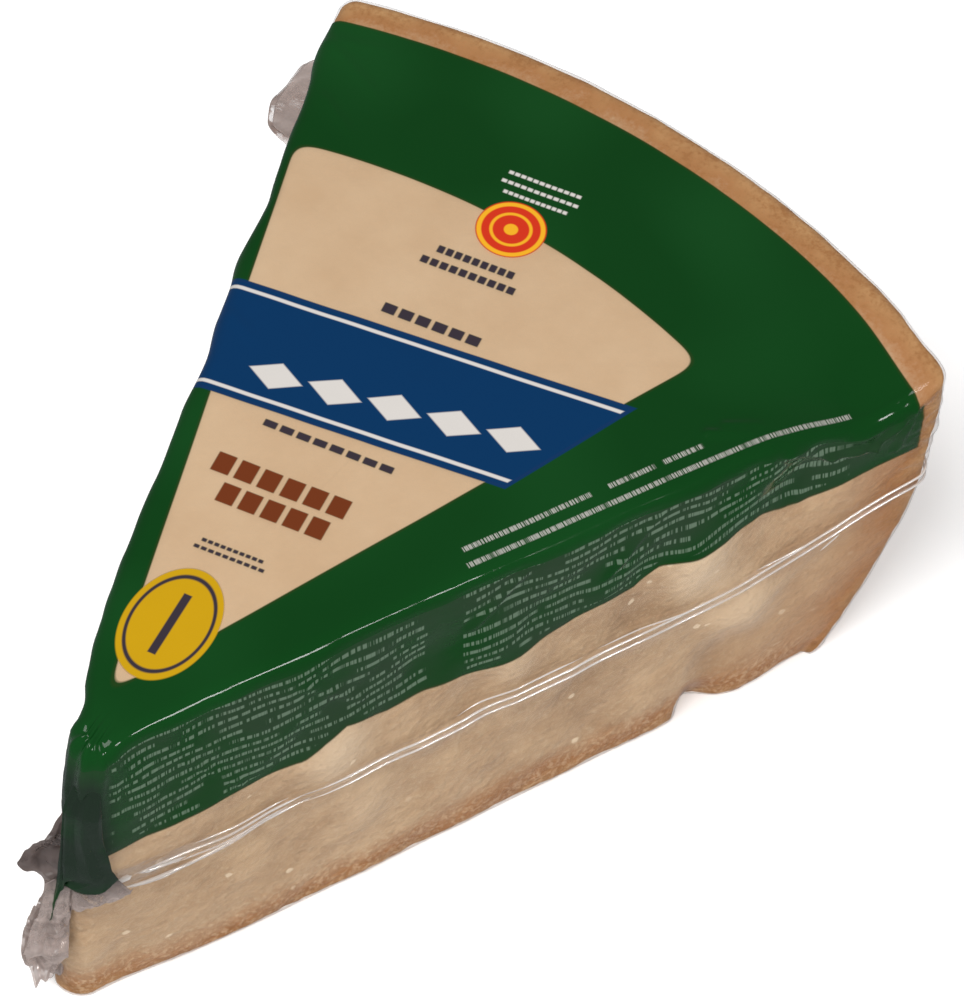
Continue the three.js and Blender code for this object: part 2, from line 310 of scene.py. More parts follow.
# Shader maths: a node socket that Python's operators build Math nodes on
class Sum:
    def __init__(self, tree, link=None):
        self.tree = tree
        self.link = link

    def make(self, kind, settings=None, inputs=None, output=0):
        node = self.tree.nodes.new(kind)
        for name, value in (settings or {}).items():
            setattr(node, name, value)
        for key, value in (inputs or {}).items():
            if isinstance(value, Sum):
                self.tree.links.new(value.link, node.inputs[key])
            else:
                node.inputs[key].default_value = value
        return Sum(self.tree, node.outputs[output] if node.outputs else None)

    def maths(self, operation, *values):
        return self.make("ShaderNodeMath", {"operation": operation}, dict(enumerate(values)))

    def __add__(self, other):
        return self.maths("ADD", self, other)

    def __sub__(self, other):
        return self.maths("SUBTRACT", self, other)

    def __rsub__(self, other):
        return self.maths("SUBTRACT", other, self)

    def __mul__(self, other):
        return self.maths("MULTIPLY", self, other)

    def __truediv__(self, other):
        return self.maths("DIVIDE", self, other)

    def __pow__(self, other):
        return self.maths("POWER", self, other)

    __radd__ = __add__
    __rmul__ = __mul__

    def size(self):
        return self.maths("ABSOLUTE", self)

    def least(self, other):
        return self.maths("MINIMUM", self, other)

    def most(self, other):
        return self.maths("MAXIMUM", self, other)

    def rounded(self, other, reach):
        # the larger of two values with a rounded corner where they meet
        return self.maths("SMOOTH_MAX", self, other, reach)

    def rise(self, low, high):
        # 0 below low, 1 above high
        return self.make("ShaderNodeMapRange", {"clamp": True},
                         {"Value": self, "From Min": low, "From Max": high})

    def inside(self, soft=0.2):
        # 1 where a signed distance is negative, over a soft edge
        return self.rise(soft, -soft)

    def paint(self, under, over):
        # colour under, covered by colour over where this mask is 1
        return self.make("ShaderNodeMix", {"data_type": "RGBA"}, {0: self, 6: under, 7: over}, 2)


def newMaterial(name):
    material = bpy.data.materials.new(name)
    material.use_nodes = True
    material.node_tree.nodes.clear()
    return material, Sum(material.node_tree)


def wedgeSpace(maker):
    # Object coordinates in wedge millimetres: the vector, x, y and z
    place = maker.make("ShaderNodeTexCoord", output=3)
    x0, y0 = wedge["tipPlace"]
    moved = maker.make("ShaderNodeMapping", {"vector_type": "POINT"},
                       {"Vector": place, "Location": (-x0 * 1000, -y0 * 1000, 0.0), "Scale": (1000.0,) * 3})
    split = moved.make("ShaderNodeSeparateXYZ", inputs={0: moved})
    return moved, *(Sum(maker.tree, split.link.node.outputs[axis]) for axis in range(3))


def noise(space, scale, detail=2.0, roughness=0.5):
    # scale is in bumps for each millimetre
    return space.make("ShaderNodeTexNoise", inputs={"Vector": space, "Scale": scale, "Detail": detail,
                                                    "Roughness": roughness})


def bumped(maker, height, distance, strength=1.0):
    return maker.make("ShaderNodeBump", inputs={"Height": height, "Distance": distance, "Strength": strength})


def attribute(maker, name):
    return maker.make("ShaderNodeAttribute", {"attribute_name": name}, output=2)


def surface(maker, colour, roughness, settings, normal=None):
    inputs = {"Base Color": colour, "Roughness": roughness, **settings}
    if normal is not None:
        inputs["Normal"] = normal
    return maker.make("ShaderNodeBsdfPrincipled", inputs=inputs)


def overClear(shader, cover):
    # the shader where cover is 1, nothing but clear film where it is 0
    clear = shader.make("ShaderNodeBsdfTransparent")
    return shader.make("ShaderNodeMixShader", inputs={0: cover, 1: clear, 2: shader})


def finishMaterial(material, shader):
    shader.make("ShaderNodeOutputMaterial", inputs={"Surface": shader})
    return material


print("camera, floor and lights")

# A camera fitted to the photograph's outline, in wedge millimetres
cameraFit = {"azimuth": -52.93, "elevation": 56.22, "roll": 0.98, "target": (132.6, -6.11, 45.0),
             "distance": 1150.0, "lens": 192.1}


def addCamera():
    azimuth, elevation, roll = (math.radians(cameraFit[name]) for name in ("azimuth", "elevation", "roll"))
    back = Vector((math.sin(azimuth) * math.cos(elevation), -math.cos(azimuth) * math.cos(elevation),
                   math.sin(elevation)))
    right = Vector((math.cos(azimuth), math.sin(azimuth), 0.0))
    up = back.cross(right)
    turnedRight = math.cos(roll) * right + math.sin(roll) * up
    turnedUp = math.cos(roll) * up - math.sin(roll) * right
    camera = linked("camera", bpy.data.cameras.new("camera"))
    camera.data.lens = cameraFit["lens"]
    camera.data.sensor_width = 36.0
    place = Vector(inRow(cameraFit["target"])) + back * (cameraFit["distance"] * 0.001)
    axes = Matrix((turnedRight, turnedUp, back)).transposed()
    camera.matrix_world = Matrix.Translation(place) @ axes.to_4x4()
    bpy.context.scene.camera = camera


studio = {
    "floorSize": 6.0, "floorColour": (0.93, 0.93, 0.93), "floorGlow": 0.3, "worldColour": (0.92, 0.96, 1.0),
    "worldStrength": 0.2,
    # each light: where it stands from the object, its size, its power in watts
    "lights": {"front": ((-0.1, -1.25, 0.85), 0.2, 5.0), "above": ((-0.75, 0.0, 1.7), 1.0, 29.0),
               "rimSide": ((1.5, -0.3, 0.9), 0.6, 3.5)},
}


def addStudio():
    half = studio["floorSize"] / 2
    corners = np.array([(-half, -half, 0), (half, -half, 0), (half, half, 0), (-half, half, 0)])
    floor = meshObject("floor", corners, [(0, 1, 2, 3)], smooth=False)
    material, maker = newMaterial("paleFloor")
    shader = surface(maker, (*studio["floorColour"], 1.0), 0.8,
                     {"Emission Color": (1, 1, 1, 1), "Emission Strength": studio["floorGlow"]})
    floor.data.materials.append(finishMaterial(material, shader))
    # the film mirrors the dim room, not the floor
    floor.visible_glossy = False
    for name, (place, size, power) in studio["lights"].items():
        light = bpy.data.lights.new(name, "AREA")
        light.size = size
        light.energy = power
        lamp = linked(name, light)
        lamp.location = place
        lamp.rotation_euler = (-Vector(place)).to_track_quat("-Z", "Y").to_euler()
        lamp.visible_glossy = name != "rimSide"
    world = bpy.data.worlds.new("studio")
    world.use_nodes = True
    background = world.node_tree.nodes["Background"]
    background.inputs["Color"].default_value = (*studio["worldColour"], 1.0)
    background.inputs["Strength"].default_value = studio["worldStrength"]
    bpy.context.scene.world = world
    bpy.context.scene.view_settings.view_transform = "Standard"


addCamera()
addStudio()

print("cheese")

cheese = {
    # steps along each part of the half outline, and up each part of the wall
    "stations": (6, 110, 6, 48), "rows": (22, 3, 24, 4),
    # how far the cheese lies inside the bag's smooth walls, and how deep its roughness goes
    "gap": 0.42, "coarseSize": 17.0, "coarseDepth": 0.3, "coarseLimit": 0.3, "fineSize": 4.5, "fineDepth": 0.16,
    "rindDepth": 0.1, "fineLimits": (-0.6, 0.12), "topShare": 0.12, "topBorder": (3.5, 0.8),
    "rindBorder": (-8.0, -1.0), "baseBorder": (0.05, 1.5), "swellTop": 88.0,
    # the paste's darker end is partly painted shade in the hollows, and the pale colour on swellings is a painted
    # highlight
    "paste": ((0.386, 0.239, 0.131, 1), (0.626, 0.437, 0.267, 1)), "pasteTone": (0.26, 0.74),
    "swellingHighlight": (0.73, 0.57, 0.40, 1), "grains": (0.70, 0.55, 0.38, 1), "crystals": (0.86, 0.70, 0.50, 1),
    "underPrint": ((0.552, 0.379, 0.228, 1), (0.588, 0.419, 0.262, 1)),
    "dryPaste": (0.47, 0.265, 0.132, 1), "browned": (0.375, 0.16, 0.053, 1), "crumbs": (0.70, 0.50, 0.31, 1),
    "rind": ((0.335, 0.153, 0.053, 1), (0.495, 0.278, 0.12, 1)),
    # millimetres from the rind where the dry paste, the brown band and the rind itself set in and are full
    "dryBand": (50.0, 14.0), "brownBand": (18.0, 5.5), "rimBand": (21.0, 3.0), "rindBand": (7.0, 2.0),
    "crumbHeight": 9.0, "crystalScale": 0.14, "bump": 0.0007,
}


def coarseRelief(points):
    # the cheese's slow unevenness, which the film follows
    relief = waves(points, cheese["coarseSize"], 9, 3) * cheese["coarseDepth"]
    return np.clip(relief, -cheese["coarseLimit"], cheese["coarseLimit"])


def buildCheese():
    topShares = np.linspace(0.985, 0.04, 24)
    grid = wedgeGrid(outlineStations(*cheese["stations"]), wallRows(*cheese["rows"]), topShares)
    x, y, z = np.moveaxis(grid, 2, 0)
    top = topHeightAt(x, y)
    outer, inner = cheese["topBorder"]
    onTop = ease(z, top - outer, top - inner)
    onRind = ease(np.hypot(x, y) - rimRadiusAt(z), *cheese["rindBorder"])
    fine = waves(grid, cheese["fineSize"], 12, 4) * mix(cheese["fineDepth"], cheese["rindDepth"], onRind)
    rough = (coarseRelief(grid) + np.clip(fine, *cheese["fineLimits"])) * mix(1.0, cheese["topShare"], onTop)
    inward = (cheese["gap"] - rough)[..., None]
    onBase = ease(z, *cheese["baseBorder"])[..., None]
    grid = grid - gridNormals(grid, len(wedge["baseShares"]), len(topShares)) * inward * mix(0.5, 1.0, onBase)
    made = closedGrid("cheese", grid)
    # how far the cut faces rise or sink, which the paste's colour follows as painted shade in the hollows and a painted
    # highlight on the swellings
    x, y, z = np.moveaxis(grid, 2, 0)
    onWall = ease(z, topHeightAt(x, y) - 1.0, cheese["swellTop"])
    reliefShading = faceRelief(np.where(y < 0, -1.0, 1.0), alongFace(x, y), z) * (1.0 - onRind) * onWall
    storeValues(made, "reliefShading", reliefShading, (0.0, 0.0))
    storeValues(made, "cutTop", onTop, (0.0, 1.0))
    return made


def cheeseMaterial():
    material, maker = newMaterial("hardCheese")
    space, x, y, z = wedgeSpace(maker)
    belowCut = (1.0 - z / wedge["rimHeight"]).most(0.0)
    heel = wedge["wheelRadius"] - wedge["heelInset"] * (belowCut ** wedge["heelCurve"])
    fromRim = heel - (x * x + y * y) ** 0.5
    mottle = noise(space, 0.045, 3.0, 0.62)
    patches = noise(space, 0.13, 2.0, 0.6)
    grain = noise(space, 0.9, 2.0, 0.65)
    reliefShading, cutTop = attribute(maker, "reliefShading"), attribute(maker, "cutTop")
    onWall = 1.0 - cutTop
    # paste: tan with paler crystals, and painted shade that makes the hollows darker and greyer
    tone = mottle * 0.5 + patches * 0.5 + reliefShading * 0.12
    paste = tone.rise(*cheese["pasteTone"]).paint(*cheese["paste"])
    # painted highlight: the swellings turn paler
    paste = (reliefShading.rise(0.3, 2.4) * 0.55).paint(paste, cheese["swellingHighlight"])
    paste = (grain.rise(0.52, 0.75) * 0.3).paint(paste, cheese["grains"])
    paste = (cutTop * 0.9).paint(paste, mottle.rise(0.3, 0.7).paint(*cheese["underPrint"]))
    crystals = maker.make("ShaderNodeTexVoronoi", {"feature": "F1"}, {"Vector": space, "Scale": cheese["crystalScale"]})
    picked = maker.make("ShaderNodeSeparateXYZ", inputs={0: Sum(maker.tree, crystals.link.node.outputs["Color"])})
    speck = (crystals - 0.12 - (grain - 0.5) * 0.12).inside(0.02) * picked.rise(0.45, 0.5)
    paste = (speck * onWall * 0.7).paint(paste, cheese["crystals"])
    # towards the rind the paste turns to a drier brown, over a ragged border
    ragged = fromRim.least(z * 1.35) + (mottle - 0.5) * 22.0 + (grain - 0.5) * 9.0
    wander = (mottle - 0.5) * 30.0
    tinted = ((fromRim + wander).rise(*cheese["dryBand"]) * 0.6 * onWall).paint(paste, cheese["dryPaste"])
    nearRim = (fromRim + wander * 0.5).rise(*cheese["rimBand"]) * 0.9 * onWall
    browned = (ragged.rise(*cheese["brownBand"]) * 0.95).most(nearRim).paint(tinted, cheese["browned"])
    rindColour = (patches * 0.5 + grain * 0.5).rise(0.38, 0.62).paint(*cheese["rind"])
    colour = (ragged.rise(*cheese["rindBand"]) * 0.9).paint(browned, rindColour)
    crumbs = (z - cheese["crumbHeight"]).inside(3.0) * grain.rise(0.5, 0.6) * (fromRim - 8.0).rise(0.0, 6.0) * 0.38
    colour = crumbs.paint(colour, cheese["crumbs"])
    height = noise(space, 0.45, 1.0) * (1.0 - cutTop * 0.9)
    shader = surface(maker, colour, mottle * 0.2 + 0.42, {"Specular IOR Level": 0.12},
                     bumped(maker, height, cheese["bump"]))
    return finishMaterial(material, shader)


cheesePiece = buildCheese()
cheesePiece.data.materials.append(cheeseMaterial())

print("film bag")

film = {
    # steps as for the cheese, and how many of the wall's highest rows lie under the drawn print
    "stations": (14, 190, 9, 74), "rows": (30, 8, 40, 5), "printedRows": 7,
    # creases of the top film: start, end, width, rise
    "topCreases": [((182, 75), (177, 58), 1.4, 0.5), ((184, 73), (188, 64), 1.2, 0.4),
                   ((169, 66), (165, 56), 1.2, 0.4), ((188, 57), (178, 57), 1.6, -0.35),
                   ((152, 60), (148, 54), 1.6, 0.35), ((110, 43), (108, 36), 1.5, 0.3),
                   ((149, -52), (155, -58.5), 1.1, 0.9), ((153, -53.5), (158, -58.5), 1.1, 0.8)],
    # folds of the right wall, along and height, below the sunken corner and near the tip
    "wallFolds": [((12, 46.5), (60, 47.5), 0.55, 0.35), ((13, 44), (58, 45.4), 0.55, 0.35),
                  ((18, 46.8), (31, 47.8), 0.7, 0.5), ((27, 50.5), (50, 50.2), 0.5, 0.3),
                  ((20, 42), (45, 44.3), 0.5, 0.3), ((94.6, 49.6), (121.8, 49.6), 0.45, 0.25),
                  ((167, 51), (177, 52), 0.45, 0.3), ((174.9, 61.9), (189.6, 56), 0.8, 0.25),
                  ((172, 87), (183, 77.5), 1.6, 0.7), ((183, 77.5), (193, 75.5), 1.2, 0.9),
                  ((193, 75.5), (200, 80), 1.0, 0.9), ((176, 66), (181, 79), 1.6, 0.3),
                  ((199, 70), (203, 83), 0.9, 0.6), ((57, 88), (70, 73), 1.2, 0.4), ((96, 79), (108, 90), 1.3, 0.5),
                  ((128, 74), (140, 88), 1.3, 0.5), ((30, 80), (42, 62), 1.0, 0.35)],
    # pleats drawn down over the tip: place round the tip, width, rise
    "tipPleats": [(-13.0, 1.6, 0.8), (-9.0, 1.3, 1.0), (-5.6, 1.2, 0.7), (-1.5, 1.4, 1.2), (2.6, 1.2, 0.9),
                  (6.5, 1.5, 0.8), (11.0, 1.8, 0.6)],
    # round the tip, how far a face's length counts, and a place beyond the pleats
    "faceLength": 194.0, "beyondFaces": 400.0,
    "seamRise": 0.3, "seamWidth": 2.0, "seamClimbEnd": 210.0, "tautWidth": 5.0,
    "looseCorner": 208.0, "looseSpread": 8.0, "looseDepth": 0.3, "deepestDip": -0.12, "floorFade": (0.2, 4.0),
    # where the tip's pleats fade out: in height, round the tip, and out from it
    "pleatHeights": (62.0, 76.0), "pleatReach": (26.0, 8.0), "pleatRadius": (18.0, 9.0), "pleatSlant": 0.08,
    # how much clear film covers what is under it: everywhere, at most, and with glancing light
    "haze": 0.004, "mostCover": 0.32, "glanceCover": 1.1, "ior": 1.26,
    # height of the print's lower edge along each face, the left one read a little further on
    "leftShift": 9.0,
    "printLow": ([0, 11, 38, 56, 61, 66, 76, 85, 99, 107, 127, 135, 141, 150, 166, 172, 178, 191, 214],
                 [57, 57.2, 58.8, 60.2, 64, 66.2, 62.4, 63, 61, 61.2, 64, 64.2, 68.8, 67.8, 68.6, 65.4, 65.2,
                  66.6, 66.3]),
}


def aroundTip(part, share, side):
    # signed distance along the outline from the tip's middle, negative on the right
    arc = (wedge["tipRadius"] + wedge["standoff"]) * (math.pi / 2 - wedge["halfAngle"])
    onFace = np.where(part == facePart, arc + share * film["faceLength"], film["beyondFaces"])
    return np.where(part == tipPart, share * arc, onFace) * side


def filmWrinkles(grid, stations):
    x, y, z = np.moveaxis(grid, 2, 0)
    along, inward = acrossRightFace(x, y)
    top = topHeightAt(x, y)
    onTop = ease(z, top - 4.0, top - 1.0)
    total = np.zeros_like(x)
    for start, end, width, rise in film["topCreases"]:
        distance, share = segmentDistance(x, y, start, end)
        total += onTop * rise * bell(distance, width) * (1.0 - 0.6 * share)
    onRight = ease(inward, 6.0, 1.0)
    for start, end, width, rise in film["wallFolds"]:
        distance, _ = segmentDistance(along, z, start, end)
        total += onRight * rise * (bell(distance, width) - 0.5 * bell(distance - 1.6 * width, width))
    q = aroundTip(stations["part"], stations["share"], stations["side"])[None, :]
    drawn = ease(z, *film["pleatHeights"]) * ease(np.abs(q), *film["pleatReach"])
    drawn = drawn * ease(np.hypot(x, y), *film["pleatRadius"])
    slant = film["pleatSlant"] * (z - 85.0)
    total += drawn * sum(rise * bell(q - place - slant, width) for place, width, rise in film["tipPleats"])
    # loose film down the right corner of the rim
    atCorner = bell(np.hypot(along - film["looseCorner"], inward), film["looseSpread"])
    atCorner = atCorner * ease(z, 50.0, 62.0) * ease(z, 88.0, 82.0)
    total += atCorner * film["looseDepth"] * np.abs(waves(grid * [0.5, 0.5, 1.0], 4.5, 8, 13))
    # seam ridge, and the film drawn tight beside it
    nearSeam = bell(z - seamHeightAt(np.minimum(np.hypot(x, y), film["seamClimbEnd"])), film["seamWidth"])
    total += film["seamRise"] * nearSeam * (1.0 - onTop)
    side = stations["side"][None, :] + 0 * x
    faceAlong = np.where(stations["part"][None, :] == facePart, alongFace(x, y), 0.0)
    total += tautLift(side, faceAlong) * bell(z - seamHeightAt(faceAlong), film["tautWidth"])
    # stretched film between lumps: faint waves along the walls and the top's borders
    total += (1.0 - onTop) * 0.12 * waves(grid * [1.0, 1.0, 0.6], 9.0, 10, 11)
    total += onTop * 0.05 * waves(grid, 22.0, 8, 12)
    return np.maximum(total, film["deepestDip"]) * ease(z, *film["floorFade"])


def buildFilm():
    stations = outlineStations(*film["stations"])
    rows = wallRows(*film["rows"])
    topShares = np.concatenate([np.linspace(0.992, 0.75, 22), np.linspace(0.72, 0.05, 16)])
    grid = wedgeGrid(stations, rows, topShares)
    x, y, z = np.moveaxis(grid, 2, 0)
    topShare = ease(topHeightAt(x, y) - z, *cheese["topBorder"])
    lift = coarseRelief(grid) * ease(z, *film["floorFade"]) * mix(1.0, cheese["topShare"], topShare)
    lift = lift + filmWrinkles(grid, stations)
    grid = grid + gridNormals(grid, len(wedge["baseShares"]), len(topShares)) * lift[..., None]
    made = closedGrid("shrink_film", grid)
    # signed height above the print's lower edge, positive where the wall is printed
    x, y, z = np.moveaxis(grid, 2, 0)
    along = alongFace(x, y) + np.where(y < 0, 0.0, film["leftShift"])
    storeValues(made, "printed", z - np.interp(along, *film["printLow"]), (-90.0, 30.0))
    # the top's faces, with their border of the wall, carry the drawn print
    firstTop = len(wedge["baseShares"]) + len(rows) - film["printedRows"]
    slots = np.zeros(len(made.data.polygons), int)
    slots[len(stations["part"]) * (firstTop + 1):] = 1
    made.data.polygons.foreach_set("material_index", slots)
    return made


inks = {
    "green": (0.0035, 0.046, 0.007, 1), "greenPale": (0.006, 0.060, 0.011, 1), "greenEdge": (0.05, 0.035, 0.008, 1),
    "greenGrey": (0.022, 0.044, 0.022, 1), "blue": (0.002, 0.033, 0.108, 1), "blueEdge": (0.01, 0.03, 0.10, 1),
    "white": (0.66, 0.62, 0.58, 1), "red": (0.62, 0.035, 0.012, 1), "gold": (0.86, 0.42, 0.02, 1),
    # flap: the green print darkened as painted shade where the film folds over the tip
    "yellow": (0.56, 0.32, 0.006, 1), "flap": (0.013, 0.024, 0.015, 1), "brown": (0.16, 0.035, 0.010, 1),
    "dark": (0.04, 0.03, 0.04, 1), "finePrint": (0.19, 0.27, 0.19, 1),
    # the film itself: taut; in strands, whitened as a painted highlight; crumpled; and crumpled where it is dark at the
    # tip
    "bare": (0.86, 0.80, 0.77, 1), "strand": (0.92, 0.86, 0.82, 1), "crumpled": (0.58, 0.48, 0.44, 1),
    "mauve": (0.07, 0.048, 0.045, 1),
}

topPrint = {
    "window": {"arc": 167.4, "right": ((58.2, -9.3), (152.5, -36.5)), "left": ((139.6, 55.4), (58.7, 18.8)),
               "corner": 7.5},
    "greenRim": 203.6, "edgeSoft": 0.15,
    # the band's long edges and its slanted end, each a line with the band on its left
    "band": [((144.7, -36.8), (119.4, 46.5)), ((110.8, -28.4), (144.7, -36.8)), ((91.4, 35.6), (110.8, -28.4))],
    "bandLine": 2.2, "lineWidth": 0.45,
    "lozenges": {"from": (103.5, 26.0), "to": (122.0, -22.0), "count": 5, "half": (6.0, 3.6)},
    # rings: radius as a share of the seal's, half width
    "seal": {"centre": (165.8, 12.5), "radius": 7.6, "rings": ((0.9, 0.5), (0.56, 0.35)), "middle": 0.2},
    "badge": {"centre": (41.5, 2.8), "half": (14.6, 9.6), "turn": math.radians(12.0), "ring": (1.5, 0.35),
              "bar": (8.0, 0.9)},
    # rows of blocks: centre, half length, half height, block pitch, ink
    "bars": [((82.4, 7.4), 15.5, 2.5, 5.17, "brown"), ((76.2, 4.6), 12.5, 2.5, 5.0, "brown"),
             ((96.3, 6.2), 15.0, 0.9, 3.75, "dark"), ((134.8, 9.6), 11.5, 1.3, 3.83, "dark"),
             ((150.2, 12.0), 11.0, 1.0, 2.2, "dark"), ((154.0, 12.8), 9.0, 1.0, 2.0, "dark"),
             ((63.4, 4.6), 7.0, 0.45, 1.4, "dark"), ((61.5, 4.0), 8.0, 0.45, 1.6, "dark"),
             ((180.2, 14.4), 8.5, 0.45, 1.42, "white"), ((177.6, 13.8), 9.0, 0.45, 1.5, "white"),
             ((175.0, 13.1), 7.5, 0.45, 1.25, "white")],
    "blockShare": 0.78, "barTurn": math.radians(-75.9),
    # rows of dashes beside the right edge: distance from the edge, then where they start and end along it
    "edgeRows": [(6.8, 98.0, 155.0), (2.9, 97.0, 189.0)],
}


def lineSide(x, y, start, end):
    # signed distance from a line, positive on its right
    dx, dy = end[0] - start[0], end[1] - start[1]
    length = math.hypot(dx, dy)
    return x * (dy / length) - y * (dx / length) - (start[0] * dy - start[1] * dx) / length


def turned(x, y, turn):
    return x * math.cos(turn) + y * math.sin(turn), y * math.cos(turn) - x * math.sin(turn)


def filmShader(maker, colour, printMask, clearHaze, normal, roughness):
    # clear film lets the cheese show and mirrors at grazing angles; print covers it
    fresnel = maker.make("ShaderNodeFresnel", inputs={"IOR": film["ior"], "Normal": normal})
    cover = printMask.most((fresnel * film["glanceCover"] + clearHaze).least(film["mostCover"]))
    inked = (printMask * 5.0).least(1.0)
    printed = surface(maker, inked.paint(inks["bare"], colour), roughness,
                      {"Metallic": (1.0 - inked) * 0.7, "IOR": film["ior"]}, normal)
    return overClear(printed, cover)


def greenInk(patches):
    return patches.rise(0.35, 0.7).paint(inks["green"], inks["greenPale"])


finePrint = {
    # rows of broken fine lines: how far apart, their height, how finely they are broken, how strongly they show
    "pitch": 3.1, "letterHeight": 1.2, "letters": 1.9, "words": 0.1, "strength": 0.6,
    # along the right face: where the rows start and end, and the middle and half length of the bare gap
    "from": 12.0, "to": 187.0, "gap": (90.0, 4.0), "waver": 9.0,
}


def brokenLetters(along, row):
    # a row broken into short and long dashes, different in each row
    cell = along.make("ShaderNodeCombineXYZ", inputs={0: along, 1: row, 2: 0.0})
    letters = noise(cell, finePrint["letters"], 1.0).rise(0.44, 0.52)
    return letters * noise(cell, finePrint["words"], 0.0).rise(0.36, 0.38)


def filmTopMaterial():
    material, maker = newMaterial("printedTopFilm")
    space, x, y, z = wedgeSpace(maker)
    radius = (x * x + y * y) ** 0.5
    window = topPrint["window"]
    outer = (radius - window["arc"]).rounded(lineSide(x, y, *window["left"]), window["corner"])
    windowEdge = outer.rounded(lineSide(x, y, *window["right"]), window["corner"])
    green = (radius - topPrint["greenRim"]).most(attribute(maker, "printed") * -1.0).most(windowEdge * -1.0)
    soft = topPrint["edgeSoft"]
    greenMask = green.inside(soft)
    colour = ((green + 0.3).size().inside(0.4) * 0.5).paint(greenInk(noise(space, 0.03, 0.0)), inks["greenEdge"])
    # blue band with two plain lines and a row of lozenges
    sides = [lineSide(x, y, *ends) for ends in topPrint["band"]]
    band = sides[0].most(sides[1]).most(sides[2])
    bandMask = band.inside(soft)
    bandColour = (band + 0.5).size().inside(0.5).paint(inks["blue"], inks["blueEdge"])
    lines = (sides[0].most(sides[2]) + topPrint["bandLine"]).size() - topPrint["lineWidth"]
    marks = lines.most(band + 1.0)
    barTurn = topPrint["barTurn"]
    u, v = turned(x, y, barTurn)
    lozenges = topPrint["lozenges"]
    for step in range(lozenges["count"]):
        share = step / (lozenges["count"] - 1)
        middleU, middleV = turned(*(mix(a, b, share) for a, b in zip(lozenges["from"], lozenges["to"])), barTurn)
        halfLong, halfHigh = lozenges["half"]
        marks = marks.least(((u - middleU).size() / halfLong + (v - middleV).size() / halfHigh - 1.0) * 2.5)
    bandColour = marks.inside(soft).paint(bandColour, inks["white"])
    colour = bandMask.paint(colour, bandColour)
    mask = greenMask.most(bandMask)
    # round seal: gold rim, red field, gold ring and middle
    seal = topPrint["seal"]
    away = ((x - seal["centre"][0]) ** 2.0 + (y - seal["centre"][1]) ** 2.0) ** 0.5
    sealMask = (away - seal["radius"]).inside(soft)
    outerRing, innerRing = ((away - seal["radius"] * share).size() - half for share, half in seal["rings"])
    golden = outerRing.least(innerRing).least(away - seal["radius"] * seal["middle"]).inside(soft)
    colour = sealMask.paint(colour, golden.paint(inks["red"], inks["gold"]))
    # oval badge with a thin dark ring and a dark bar
    badge = topPrint["badge"]
    badgeU, badgeV = turned(x - badge["centre"][0], y - badge["centre"][1], badge["turn"])
    halfLong, halfHigh = badge["half"]
    oval = (((badgeU / halfLong) ** 2.0 + (badgeV / halfHigh) ** 2.0) ** 0.5 - 1.0) * halfHigh
    ringInset, ringHalf = badge["ring"]
    barLong, barHigh = badge["bar"]
    bar = (badgeV.size() - barHigh).most(badgeU.size() - barLong)
    ring = ((oval + ringInset).size() - ringHalf).least(bar).inside(soft)
    badgeMask = oval.inside(soft)
    colour = badgeMask.paint(colour, ring.paint(inks["yellow"], inks["dark"]))
    mask = mask.most(sealMask).most(badgeMask)
    # the nearest row of blocks in each ink
    rows = {}
    for centre, halfLong, halfHigh, pitch, ink in topPrint["bars"]:
        middleU, middleV = turned(*centre, barTurn)
        gap = pitch * (1 - topPrint["blockShare"]) / 2
        block = gap - maker.maths("PINGPONG", u - (middleU - halfLong), pitch / 2)
        row = ((u - middleU).size() - halfLong).most((v - middleV).size() - halfHigh).rounded(block, 0.4)
        rows[ink] = rows[ink].least(row) if ink in rows else row
    for ink, row in rows.items():
        blocks = row.inside(soft)
        colour = blocks.paint(colour, inks[ink])
        mask = mask.most(blocks)
    # rows of broken lines beside the right edge, broken differently on either side of their middle line
    along, inward = acrossRightFace(x, y)
    between = sum(row[0] for row in topPrint["edgeRows"]) / len(topPrint["edgeRows"])
    letters = brokenLetters(along * 1.5, (inward - between).rise(-0.01, 0.01) * 9.0)
    for away, start, end in topPrint["edgeRows"]:
        row = (inward - away).size() - finePrint["letterHeight"] / 2
        row = row.most((along - (start + end) / 2).size() - (end - start) / 2)
        colour = (row.inside(soft) * letters * 0.6).paint(colour, inks["white"])
    wrinkle = noise(space, 0.16, 1.0, 0.6)
    shader = filmShader(maker, colour, mask, film["haze"], bumped(maker, wrinkle, 0.0003, 0.4), wrinkle * 0.06 + 0.06)
    return finishMaterial(material, shader)


wallPrint = {
    # distances along the right face: how far the green darkens as painted shade beside the flap, and the film whitens
    # at the tip
    "darkTip": 11.5, "darkHeights": (93.0, 87.0), "stretchedTip": 26.0, "greenRim": 205.0, "edgeSoft": 0.3,
}


